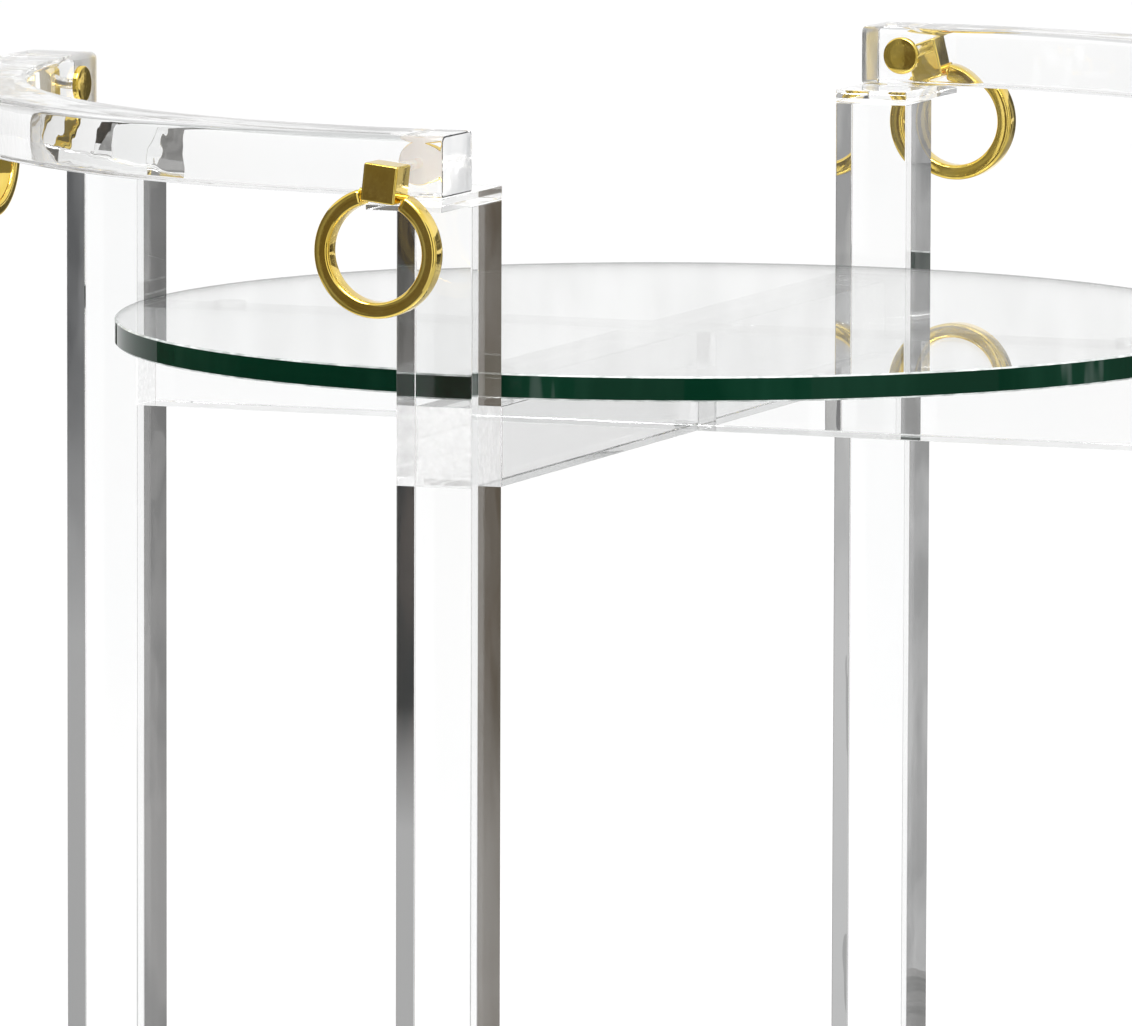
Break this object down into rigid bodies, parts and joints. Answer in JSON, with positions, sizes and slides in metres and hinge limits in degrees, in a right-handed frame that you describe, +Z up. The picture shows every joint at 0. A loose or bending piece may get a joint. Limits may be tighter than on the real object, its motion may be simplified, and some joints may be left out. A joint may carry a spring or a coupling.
{
  "type": "bar cart",
  "caption": "Round rolling bar cart: clear acrylic posts and cross bars carry round glass shelves; curved bar handles with brass ring pulls; swivel casters.",
  "frame": {"origin": "on the floor, under the middle of the cart", "axes": "+Z up; the handles are at -X and +X; the posts stand on the diagonals"},
  "size_m": [0.706, 0.567, 0.862],
  "materials": {
    "acrylic": "clear cast acrylic, flame-polished edges",
    "shelf_glass": "clear float glass, polished green edge",
    "bumper": "clear soft bumper",
    "brass": "polished and lacquered",
    "wheel_rubber": "satin black rubber"
  },
  "bodies": {
    "frame": {"post_a": "acrylic", "cap_plate_a": "acrylic", "bumper_top_a": "bumper", "bumper_low_a": "bumper", "bolt_a": "brass", "block_a": "brass", "caster_plate_a": "brass", "post_b": "acrylic", "cap_plate_b": "acrylic", "bumper_top_b": "bumper", "bumper_low_b": "bumper", "bolt_b": "brass", "block_b": "brass", "caster_plate_b": "brass", "post_c": "acrylic", "cap_plate_c": "acrylic", "bumper_top_c": "bumper", "bumper_low_c": "bumper", "bolt_c": "brass", "block_c": "brass", "caster_plate_c": "brass", "post_d": "acrylic", "cap_plate_d": "acrylic", "bumper_top_d": "bumper", "bumper_low_d": "bumper", "bolt_d": "brass", "block_d": "brass", "caster_plate_d": "brass", "handle_left": "acrylic", "handle_right": "acrylic", "upper_bar_ac": "acrylic", "upper_bar_bd": "acrylic", "lower_bar_ac": "acrylic", "lower_bar_bd": "acrylic"},
    "top_shelf": {"glass_top": "shelf_glass"},
    "lower_shelf": {"glass_lower": "shelf_glass"},
    "ring_a_swing": {"ring_a": "brass", "ring_pin_a": "brass"},
    "caster_a": {"fork_a": "brass", "axle_a": "brass"},
    "roller_a": {"wheel_a": "wheel_rubber"},
    "ring_b_swing": {"ring_b": "brass", "ring_pin_b": "brass"},
    "caster_b": {"fork_b": "brass", "axle_b": "brass"},
    "roller_b": {"wheel_b": "wheel_rubber"},
    "ring_c_swing": {"ring_c": "brass", "ring_pin_c": "brass"},
    "caster_c": {"fork_c": "brass", "axle_c": "brass"},
    "roller_c": {"wheel_c": "wheel_rubber"},
    "ring_d_swing": {"ring_d": "brass", "ring_pin_d": "brass"},
    "caster_d": {"fork_d": "brass", "axle_d": "brass"},
    "roller_d": {"wheel_d": "wheel_rubber"}
  },
  "joints": [
    {"name": "top_shelf_lift", "type": "slide", "parent": "frame", "child": "top_shelf", "axis": [0, 0, 1], "range_m": [0, 0.15]},
    {"name": "lower_shelf_lift", "type": "slide", "parent": "frame", "child": "lower_shelf", "axis": [0, 0, 1], "range_m": [0, 0.06]},
    {"name": "ring_a_hinge", "type": "hinge", "parent": "frame", "child": "ring_a_swing", "pos_m": [-0.26194, -0.25594, 0.83502], "axis": [-0.703, 0.703, 0.108], "range_deg": [-25, 110]},
    {"name": "caster_a_swivel", "type": "hinge", "parent": "frame", "child": "caster_a", "pos_m": [-0.2093, -0.2093, 0.056], "axis": [0, 0, 1], "continuous": true},
    {"name": "wheel_a_spin", "type": "hinge", "parent": "caster_a", "child": "roller_a", "pos_m": [-0.2273, -0.2093, 0.025], "axis": [0, 1, 0], "continuous": true},
    {"name": "ring_b_hinge", "type": "hinge", "parent": "frame", "child": "ring_b_swing", "pos_m": [-0.26036, 0.25753, 0.83599], "axis": [0.7044, 0.7044, 0.0872], "range_deg": [-25, 110]},
    {"name": "caster_b_swivel", "type": "hinge", "parent": "frame", "child": "caster_b", "pos_m": [-0.2093, 0.2093, 0.056], "axis": [0, 0, 1], "continuous": true},
    {"name": "wheel_b_spin", "type": "hinge", "parent": "caster_b", "child": "roller_b", "pos_m": [-0.2273, 0.2093, 0.025], "axis": [0, 1, 0], "continuous": true},
    {"name": "ring_c_hinge", "type": "hinge", "parent": "frame", "child": "ring_c_swing", "pos_m": [0.26351, 0.25438, 0.83698], "axis": [0.6744, -0.6744, 0.3007], "range_deg": [-25, 110]},
    {"name": "caster_c_swivel", "type": "hinge", "parent": "frame", "child": "caster_c", "pos_m": [0.2093, 0.2093, 0.056], "axis": [0, 0, 1], "continuous": true},
    {"name": "wheel_c_spin", "type": "hinge", "parent": "caster_c", "child": "roller_c", "pos_m": [0.1913, 0.2093, 0.025], "axis": [0, 1, 0], "continuous": true},
    {"name": "ring_d_hinge", "type": "hinge", "parent": "frame", "child": "ring_d_swing", "pos_m": [0.26036, -0.25753, 0.83599], "axis": [-0.7044, -0.7044, 0.0872], "range_deg": [-25, 110]},
    {"name": "caster_d_swivel", "type": "hinge", "parent": "frame", "child": "caster_d", "pos_m": [0.2093, -0.2093, 0.056], "axis": [0, 0, 1], "continuous": true},
    {"name": "wheel_d_spin", "type": "hinge", "parent": "caster_d", "child": "roller_d", "pos_m": [0.1913, -0.2093, 0.025], "axis": [0, 1, 0], "continuous": true}
  ]
}
